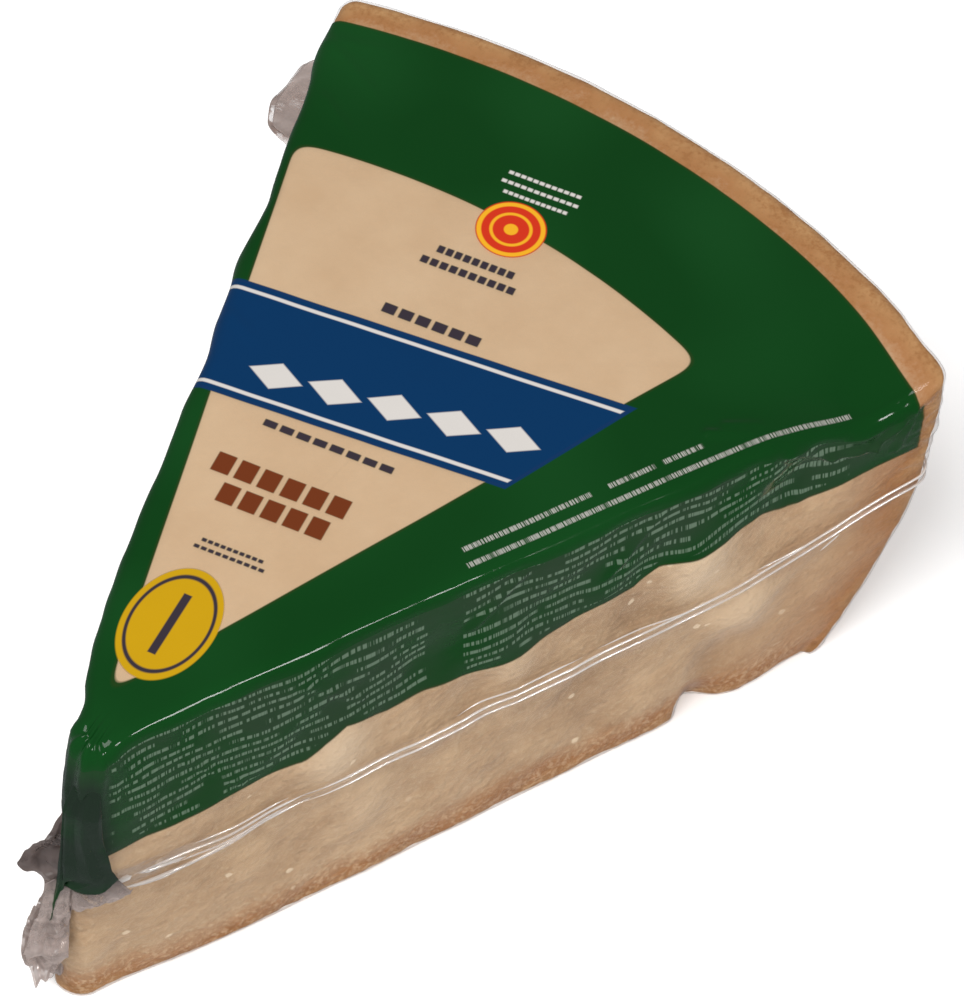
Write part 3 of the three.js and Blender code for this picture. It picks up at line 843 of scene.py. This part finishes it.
def filmWallMaterial():
    material, maker = newMaterial("printedWallFilm")
    space, x, y, z = wedgeSpace(maker)
    printed = attribute(maker, "printed")
    green = (printed * -1.0).most((x * x + y * y) ** 0.5 - wallPrint["greenRim"])
    mask = green.inside(wallPrint["edgeSoft"])
    patches = noise(space, 0.05, 1.0, 0.6)
    # the green turns greyer in random patches
    patchyInk = (patches.rise(0.3, 0.6) * 0.8).paint(greenInk(patches), inks["greenGrey"])
    along = x * math.cos(wedge["halfAngle"]) - y * math.sin(wedge["halfAngle"])
    # painted shade in the crease beside the flap: the green turns to the flap's shaded green
    flapShade = (along - wallPrint["darkTip"]).inside(2.5) * z.rise(*wallPrint["darkHeights"])
    flapShaded = (flapShade * 0.85).paint(patchyInk, inks["flap"])
    colour = ((green + 0.4).size().inside(0.5) * 0.6).paint(flapShaded, inks["greenEdge"])
    # rows of broken fine lines
    rowPlace = (z + (noise(space, 0.045, 1.0) - 0.5) * finePrint["waver"]) / finePrint["pitch"]
    rowMask = (maker.maths("FRACT", rowPlace) - 0.5).size() - finePrint["letterHeight"] / finePrint["pitch"] / 2
    lines = rowMask.inside(0.05) * brokenLetters(along, maker.maths("FLOOR", rowPlace) * 7.3)
    gapAt, gapHalf = finePrint["gap"]
    lines = lines * ((along - gapAt).size() - gapHalf).rise(0.0, 0.3)
    start, end = finePrint["from"], finePrint["to"]
    span = (printed - 2.0).rise(0.0, 0.5) * along.rise(start, start + 1.0) * (along - end).inside(1.0)
    rightSide = (y + 2.0).inside(1.0)
    colour = (lines * span * rightSide * finePrint["strength"]).paint(colour, inks["finePrint"])
    wrinkle = noise(space, 0.22, 1.0, 0.6)
    # film stretched pale along the seam
    climb = (along - wedge["seamClimbFrom"]).rise(0.0, wedge["wheelRadius"] - wedge["seamClimbFrom"])
    seamAt = climb * (wedge["seamRimHeight"] - wedge["seamHeight"]) + wedge["seamHeight"]
    stretched = maker.make("ShaderNodeCombineXYZ", inputs={0: along * 0.06, 1: z * 1.1, 2: y * 0.05})
    streaks = noise(stretched, 1.0).rise(0.42, 0.72)
    nearTip = (along - wallPrint["stretchedTip"]).inside(12.0)
    band = ((z - seamAt).size() - 1.7 - nearTip * 2.0).inside(0.9)
    haze = band * (streaks * (nearTip * 0.5 + 0.32) + 0.06) + film["haze"]
    shader = filmShader(maker, colour, mask, haze, bumped(maker, wrinkle, 0.0004, 0.5), wrinkle * 0.12 + 0.07)
    return finishMaterial(material, shader)


def greenFlapMaterial():
    material, maker = newMaterial("greenTipFilm")
    space, _, _, z = wedgeSpace(maker)
    crinkle = noise(space, 0.12, 2.0, 0.5)
    # painted shade: the flap's middle is the green print darkened; full green at its top, its foot and in random
    # patches
    low = (z + (crinkle - 0.5) * 14.0).rise(52.0, 43.0) * 0.8
    high = (z + (crinkle - 0.5) * 8.0).rise(85.0, 92.0)
    colour = (crinkle.rise(0.45, 0.7) * 0.35).most(low).most(high).paint(inks["flap"], inks["green"])
    shader = surface(maker, colour, crinkle * 0.1 + 0.08, {"IOR": 1.3}, bumped(maker, crinkle, 0.0004, 0.4))
    return finishMaterial(material, shader)


def seamMaterial():
    # strands whitened as a painted highlight that fades in and out
    material, maker = newMaterial("seamFilm")
    streak = noise(wedgeSpace(maker)[0], 0.035, 2.0, 0.5).rise(0.34, 0.56)
    shader = surface(maker, inks["strand"], 0.12, {"Metallic": 0.3})
    return finishMaterial(material, overClear(shader, streak * 0.55 + 0.4))


def crumpledMaterial():
    material, maker = newMaterial("crumpledClearFilm")
    space, x, _, z = wedgeSpace(maker)
    crinkle = noise(space, 0.16, 3.0, 0.55)
    normal = bumped(maker, crinkle, 0.001, 0.8)
    fresnel = maker.make("ShaderNodeFresnel", inputs={"IOR": 1.45, "Normal": normal})
    mauve = z.rise(42.0, 50.0) * (26.0 - x).rise(0.0, 8.0) * 0.85
    cover = (fresnel * 1.3 + crinkle.rise(0.36, 0.66) * 0.5 + 0.14 + mauve * 0.6).least(1.0)
    colour = mauve.paint(inks["crumpled"], inks["mauve"])
    shader = surface(maker, colour, crinkle * 0.1 + 0.06, {"Metallic": 0.1}, normal)
    return finishMaterial(material, overClear(shader, cover))


def thinShell(name, sheet, thickness):
    # a closed film of the given thickness round a grid of middle points
    acrossWay = np.gradient(sheet, axis=1)
    downWay = np.gradient(sheet, axis=0)
    normals = np.cross(acrossWay, downWay)
    normals /= np.linalg.norm(normals, axis=2, keepdims=True) + 1e-9
    rows, columns = sheet.shape[:2]
    points = np.concatenate([(sheet + normals * thickness / 2).reshape(-1, 3),
                             (sheet - normals * thickness / 2).reshape(-1, 3)])
    count = rows * columns
    faces = []
    for row in range(rows - 1):
        for column in range(columns - 1):
            a = row * columns + column
            corners = (a, a + 1, a + columns + 1, a + columns)
            faces.append(corners)
            faces.append(tuple(corner + count for corner in reversed(corners)))
    border = list(range(columns))
    border += [row * columns + columns - 1 for row in range(1, rows)]
    border += [(rows - 1) * columns + column for column in range(columns - 2, -1, -1)]
    border += [row * columns for row in range(rows - 2, 0, -1)]
    for here, following in zip(border, border[1:] + border[:1]):
        faces.append((following, here, here + count, following + count))
    return meshObject(name, inRow(points), faces)


def travelledTo(points):
    # how far along a line each of its points lies
    return np.concatenate([[0], np.cumsum(np.linalg.norm(np.diff(points, axis=0), axis=1))])


def placesAt(steps, travelled, points):
    return np.stack([np.interp(steps, travelled, points[:, axis]) for axis in range(2)], axis=1)


def softened(line, times):
    for _ in range(times):
        line[1:-1] = line[:-2] * 0.25 + line[1:-1] * 0.5 + line[2:] * 0.25
    return line


def smoothLine(points, count):
    points = np.array(points, float)
    travelled = travelledTo(points)
    return softened(placesAt(np.linspace(0, travelled[-1], count), travelled, points), 12)


def creased(u, v, size, count, seed):
    # folded waves with sharp crests, about size apart, of about unit height
    draw = np.random.default_rng(seed)
    total = np.zeros_like(u)
    for _ in range(count):
        turn = draw.uniform(0, math.pi)
        pace = 2 * math.pi / (size * draw.uniform(0.7, 1.7))
        phase = (u * math.cos(turn) + v * math.sin(turn)) * pace + draw.uniform(0, 6.3)
        phase += 0.8 * np.sin((v * math.cos(turn) - u * math.sin(turn)) * pace * 0.45 + draw.uniform(0, 6.3))
        total += np.arcsin(np.sin(phase)) * 2 / math.pi
    return total * math.sqrt(3 / count)


print("film gathered at the tip")

# Sheets drawn over the tip, each by guide lines from its top edge to its lowest edge. A guide point is a
# distance along the tip's path and a height: the path runs in along the right face, round the tip
# and out along the gathered fin. Then how far it stands off, its pleats and its crumples.
tipFilm = {
    "towards": (-0.6606, 0.7507), "start": (7.3, 0.0),
    "flap": {
        "guides": [(0.0, [(-4.2, 92), (-1.8, 92), (0.8, 91)]),
                   (0.5, [(-4.8, 69), (-1.8, 68), (0.4, 68), (3.0, 70)]),
                   (0.85, [(-6.3, 55.5), (-3.2, 53), (0.6, 52), (3.2, 52), (5.2, 48.5)]),
                   (1.0, [(-7.4, 51.6), (-3.8, 48.4), (0.2, 49.2), (2.6, 48.2), (4.8, 47.4), (7.4, 34)])],
        "size": (90, 100), "lift": (-1.6, 2.5), "rise": 0.3, "pleats": 1.6, "pleatDepth": (0.4, 0.5),
        "crumpleSize": 16.0, "crumple": (0.05, 0.15), "seed": 21},
    "skirt": {
        "guides": [(0.0, [(-6.4, 51), (0.0, 50), (5.0, 50)]),
                   (1.0, [(-10.6, 43.5), (-8.6, 40.4), (-4.0, 41.4), (1.6, 37.5), (3.4, 32.5), (6.0, 31)])],
        "size": (70, 120), "lift": (0.2, 1.7), "rise": 1.0, "pleats": 2.5, "pleatDepth": (0.05, 0.4),
        "crumpleSize": 8.5, "crumple": (0.05, 0.4), "seed": 22},
    "nose": {
        "guides": [(0.0, [(1.6, 46), (5.0, 48), (7.6, 47)]), (0.3, [(2.4, 35.5), (6.0, 35.5), (9.8, 36.5)]),
                   (0.65, [(3.4, 24.5), (8.0, 24.5), (13.6, 24.5)]), (0.88, [(5.6, 17), (9.0, 16.5), (13.4, 17)]),
                   (1.0, [(7.6, 13.0), (9.4, 12.2), (11.8, 12.6)])],
        "size": (120, 80), "lift": (1.2, 3.4), "rise": 0.6, "pleats": 1.2, "pleatDepth": (0.3, 0.8),
        "crumpleSize": 11.0, "crumple": (0.5, 1.1), "seed": 23},
    "fin": {
        "guides": [(0.0, [(-1.0, 92), (0.2, 92)]), (0.25, [(-1.0, 69), (3.6, 69.5)]),
                   (0.37, [(-1.0, 59), (9.0, 60)]), (0.45, [(-1.0, 52), (13.6, 52)]),
                   (0.53, [(-1.0, 45), (7.8, 45.5)]), (0.6, [(0.0, 40), (8.2, 40)]),
                   (0.72, [(2.0, 29), (12.4, 29)]), (0.85, [(4.0, 16), (14.6, 16)]),
                   (0.95, [(5.6, 9), (14.0, 9.6)]), (1.0, [(7.0, 5.6), (11.6, 5.4)])],
        "size": (160, 60), "lift": (-1.4, -1.4), "rise": 1.0, "pleats": 1.2, "pleatDepth": (0.3, 0.7),
        "crumpleSize": 11.0, "crumple": (0.4, 0.8), "seed": 24},
    "thickness": 0.14, "leansAbove": 58.5, "lowest": 0.6,
    # fine crumples as shares of a sheet's own, in depth and size, and those of its edge in millimetres
    "fineCrumple": (0.3, 0.4), "edgeCrumple": (0.3, 5.0),
    # the path: points along the face, degrees and number round the tip, points out along the fin
    "facePoints": (50, 40, 30, 20, 14, 11), "tipArc": (-112.5, -172, 9), "finPoints": (2.5, 5, 9, 13, 18),
    "pathStep": 0.25,
}


def tipPath():
    # plan of the path that the sheets follow, as evenly spaced points with their normals
    half, tip = wedge["halfAngle"], wedge["tipRadius"]
    away = tip + wedge["standoff"]
    centre = np.array([tip / math.sin(half), 0.0])
    faceWay = np.array([math.cos(half), -math.sin(half)])
    faceOut = np.array([-math.sin(half), -math.cos(half)])
    points = [faceWay * along + faceOut * wedge["standoff"] for along in tipFilm["facePoints"]]
    for turn in np.radians(np.linspace(*tipFilm["tipArc"])):
        points.append(centre + away * np.array([math.cos(turn), math.sin(turn)]))
    arcEnd = len(points) - 1
    towards = np.array(tipFilm["towards"])
    for out in tipFilm["finPoints"]:
        points.append(np.array(tipFilm["start"]) + towards * out)
    points = np.array(points)
    travelled = travelledTo(points)
    travelled -= travelled[arcEnd]
    steps = np.arange(travelled[0], travelled[-1], tipFilm["pathStep"])
    path = softened(placesAt(steps, travelled, points), 30)
    way = np.gradient(path, axis=0)
    way /= np.linalg.norm(way, axis=1, keepdims=True)
    # the near side is on the left of a path that comes in along the right face
    return steps, path, np.stack([-way[:, 1], way[:, 0]], axis=1)


def tipSheet(name, sheet):
    rows, columns = sheet["size"]
    u = np.linspace(0, 1, columns)
    v = np.linspace(0, 1, rows)
    lines = []
    for _, guide in sheet["guides"]:
        guide = np.array(guide, float)
        travelled = travelledTo(guide)
        lines.append(placesAt(u * travelled[-1], travelled, guide))
    places = [place for place, _ in sheet["guides"]]
    lines = np.array(lines)
    grid = np.array([[[np.interp(share, places, lines[:, column, axis]) for axis in range(2)]
                      for column in range(columns)] for share in v])
    s, z = np.moveaxis(softened(grid, 6), 2, 0)
    steps, path, normals = tipPath()
    share = v[:, None] + 0 * s
    across = u[None, :] + 0 * s
    lift = mix(*sheet["lift"], ease(share, 0.0, sheet["rise"]))
    turn = 2 * math.pi * sheet["pleats"] * (across + 0.06 * np.sin(7 * share + sheet["seed"]))
    lift = lift + mix(*sheet["pleatDepth"], share) * (0.65 * np.sin(turn) + 0.35 * np.arcsin(np.sin(turn * 2 + 1)))
    crumple, size, seed = mix(*sheet["crumple"], share), sheet["crumpleSize"], sheet["seed"]
    fineShare, fineSize = tipFilm["fineCrumple"]
    lift = lift + crumple * creased(s, z, size, 6, seed)
    lift = lift + fineShare * crumple * creased(s, z, size * fineSize, 5, seed + 9)
    x = np.interp(s, steps, path[:, 0]) + lift * np.interp(s, steps, normals[:, 0])
    y = np.interp(s, steps, path[:, 1]) + lift * np.interp(s, steps, normals[:, 1])
    # the sheets follow the tip's lean only above the height where it stands upright
    points = leaned(np.stack([x, y, np.maximum(z, tipFilm["leansAbove"])], axis=2))
    edgeDepth, edgeSize = tipFilm["edgeCrumple"]
    points[..., 2] = np.maximum(z + edgeDepth * creased(z, s, edgeSize, 4, seed + 50) * share, tipFilm["lowest"])
    return thinShell(name, points, tipFilm["thickness"])


print("film gathered at the corner")

earFilm = {
    "root": [(178.5, 71), (184.5, 73), (190, 72), (195, 67)],
    "edge": [(177, 82), (178, 90.5), (185, 95), (192, 95.5), (198, 96.5), (202.5, 92.5), (205, 84.5), (203, 74)],
    "height": 52.0, "size": (42, 90), "ripple": 1.1, "ripples": 1.7, "crumpleSize": 11.0, "crumple": 0.5,
    "thickness": 0.14, "layers": [(0.0, 1.0, 31), (1.8, 0.93, 32)],
}


def earSheet(name, rise, reach, seed):
    rows, columns = earFilm["size"]
    root = smoothLine(earFilm["root"], columns)
    edge = smoothLine(earFilm["edge"], columns)
    out = np.linspace(0, reach, rows)[:, None, None]
    plan = root[None] + (edge - root)[None] * out
    across = np.linspace(0, 1, columns)[None, :] + 0 * plan[..., 0]
    outward = out[..., 0] + 0 * plan[..., 0]
    height = earFilm["height"] + rise * outward
    height = height + outward * earFilm["ripple"] * np.sin(2 * math.pi * earFilm["ripples"] * across + seed)
    crumple = creased(plan[..., 0], plan[..., 1], earFilm["crumpleSize"], 8, seed)
    height = height + outward * earFilm["crumple"] * crumple
    return thinShell(name, np.concatenate([plan, height[..., None]], axis=2), earFilm["thickness"])


print("seam round the waist")

seamBand = {
    # millimetres: how far apart the two strands run, their radius, the stand off and the sway, and where
    # along the right face the strands fan out
    "apart": 2.7, "radius": 0.27, "standOff": 0.1, "sway": 0.12, "fanEnd": 55.0,
    "hiddenShare": 0.012, "strandLift": 0.2, "strandSides": 10, "taper": 12,
    # strands on the right face near the tip and beside the seam: radius, then points along and up
    "strands": [(0.38, [(12.5, 43.9), (20, 41.2), (29.4, 39.9), (41.5, 43.2), (49, 44.4), (57, 44.6)]),
                (0.27, [(17, 46.8), (23.9, 46.6), (37.1, 45.6), (47, 46.7), (57, 47.3)]),
                (0.6, [(13.2, 46.4), (16.5, 46.6)]), (0.5, [(18.1, 46.2), (23, 45.6), (28.4, 44.3)]),
                (0.22, [(14, 42.6), (24, 39.4), (36, 40.6), (46, 43.4)]),
                (0.22, [(26, 43.4), (36, 43.0), (52, 45.6)]),
                (0.2, [(30, 48.4), (40, 47.8), (52, 48.6)]), (0.2, [(92, 49.5), (108, 49.9), (122, 49.4)]),
                (0.18, [(126, 49.5), (140, 48.4), (153, 46.9)]), (0.2, [(165, 50.4), (178, 51.6)]),
                (0.18, [(181.5, 45.2), (186, 48.6)])],
}


def seamPathPoints():
    # from the fan on the right face, round the rim, to the left face; the film at the tip hides the rest
    stations = outlineStations(*film["stations"])
    part, side = stations["part"], stations["side"]
    low, high = (leaned(wallPoints(stations, ("seamLow", "seamHigh", share, 0.0))) for share in (0.35, 0.65))
    middle = (low + high) / 2
    outward = gridNormals(np.stack([low, middle, high]))[1]
    sway = waves(middle * [1, 1, 0], 45.0, 5, 41)[:, None] * np.array([0.0, 0.0, seamBand["sway"]])
    faceAlong = np.where(part == facePart, alongFace(middle[:, 0], middle[:, 1]), 0.0)
    lift = coarseRelief(middle) + film["seamRise"] + seamBand["standOff"] + tautLift(side, faceAlong)
    path = middle + outward * lift[:, None] + sway
    along = acrossRightFace(path[:, 0], path[:, 1])[0]
    hidden = (part == tipPart) | ((part == facePart) & (stations["share"] < seamBand["hiddenShare"]))
    hidden |= (part == facePart) & (side < 0) & (along < seamBand["fanEnd"])
    return path[~hidden]


def strandPoints(line):
    # a smooth line over the film of the right face
    line = smoothLine(line, 60)
    along, height = line[:, 0], line[:, 1]
    half = wedge["halfAngle"]
    points = np.stack([along * math.cos(half), -along * math.sin(half), height], axis=1)
    outward = wedge["standoff"] + faceRelief(-1.0, along, height) + coarseRelief(points)
    outward = outward + film["seamRise"] + seamBand["strandLift"]
    outward = outward + tautLift(-1.0 + 0 * along, along) * bell(height - seamHeightAt(along), film["tautWidth"])
    points[:, 0] -= outward * math.sin(half)
    points[:, 1] -= outward * math.cos(half)
    return leaned(points)


def seamTree():
    # runs a round strand along each line of edges, as thick as its points say
    tree = bpy.data.node_groups.new("seamStrands", "GeometryNodeTree")
    sockets = {"Lines": "NodeSocketGeometry", "Radius": "NodeSocketFloat", "Film": "NodeSocketMaterial"}
    named = {name: tree.interface.new_socket(name, in_out="INPUT", socket_type=kind)
             for name, kind in sockets.items()}
    tree.interface.new_socket("Strands", in_out="OUTPUT", socket_type="NodeSocketGeometry")
    maker = Sum(tree)
    entry = maker.make("NodeGroupInput").link.node
    given = {name: Sum(tree, entry.outputs[name]) for name in sockets}
    path = maker.make("GeometryNodeMeshToCurve", inputs={"Mesh": given["Lines"]})
    thick = maker.make("GeometryNodeInputNamedAttribute", {"data_type": "FLOAT"}, {"Name": "thick"})
    path = maker.make("GeometryNodeSetCurveRadius", inputs={"Curve": path, "Radius": thick * given["Radius"]})
    circle = maker.make("GeometryNodeCurvePrimitiveCircle", inputs={"Resolution": seamBand["strandSides"],
                                                                    "Radius": 1.0})
    strands = maker.make("GeometryNodeCurveToMesh", inputs={
        "Curve": path, "Profile Curve": circle, "Scale": maker.make("GeometryNodeInputRadius"), "Fill Caps": True})
    for kind in ("SetShadeSmooth", "RealizeInstances"):
        strands = maker.make("GeometryNode" + kind, inputs={"Geometry": strands})
    strands = maker.make("GeometryNodeSetMaterial", inputs={"Geometry": strands, "Material": given["Film"]})
    maker.make("NodeGroupOutput", inputs={"Strands": strands})
    return tree, named


def settled(made, modifier):
    # the plain mesh that a node modifier gives, with its faces outwards, in place of the source
    graph = bpy.context.evaluated_depsgraph_get()
    mesh = bpy.data.meshes.new_from_object(made.evaluated_get(graph))
    made.modifiers.remove(modifier)
    made.data = mesh
    built = bmesh.new()
    built.from_mesh(mesh)
    bmesh.ops.recalc_face_normals(built, faces=built.faces)
    built.to_mesh(mesh)
    built.free()
    return made


def buildSeam(material):
    path = seamPathPoints()
    lines = [(seamBand["radius"], path + [0.0, 0.0, hand * seamBand["apart"] / 2]) for hand in (-1, 1)]
    lines += [(radius, strandPoints(line)) for radius, line in seamBand["strands"]]
    points, edges, thick = [], [], []
    for radius, line in lines:
        first = len(points)
        points += inRow(line).tolist()
        edges += [(first + place, first + place + 1) for place in range(len(line) - 1)]
        # thinner towards both ends
        travelled = np.arange(len(line)) / (len(line) - 1)
        full = ease(np.minimum(travelled, 1 - travelled) * len(line), 0, seamBand["taper"])
        thick += (radius * (0.15 + 0.85 * full)).tolist()
    mesh = bpy.data.meshes.new("waist_seam")
    mesh.from_pydata(points, edges, [])
    made = linked("waist_seam", mesh)
    storeValues(made, "thick", thick)
    tree, named = seamTree()
    modifier = made.modifiers.new("seam", "NODES")
    modifier.node_group = tree
    modifier[named["Radius"].identifier] = 0.001
    modifier[named["Film"].identifier] = material
    return settled(made, modifier)


filmPiece = buildFilm()
filmPiece.data.materials.append(filmWallMaterial())
filmPiece.data.materials.append(filmTopMaterial())
# the cheese just beneath it casts the same shadow
filmPiece.visible_shadow = False
greenFlap, crumpledFilm = greenFlapMaterial(), crumpledMaterial()
seamPiece = buildSeam(seamMaterial())
pieces = [cheesePiece, filmPiece, seamPiece]
sheets = [tipSheet("tip_" + name, tipFilm[name]) for name in ("flap", "skirt", "nose", "fin")]
sheets += [earSheet("corner_ear_%d" % layer, *values) for layer, values in enumerate(earFilm["layers"])]
for sheet in sheets:
    sheet.data.materials.append(greenFlap if sheet.name == "tip_flap" else crumpledFilm)
pieces += sheets

for piece in pieces:
    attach(piece, "root")
    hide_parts(packNode)

print("finish")
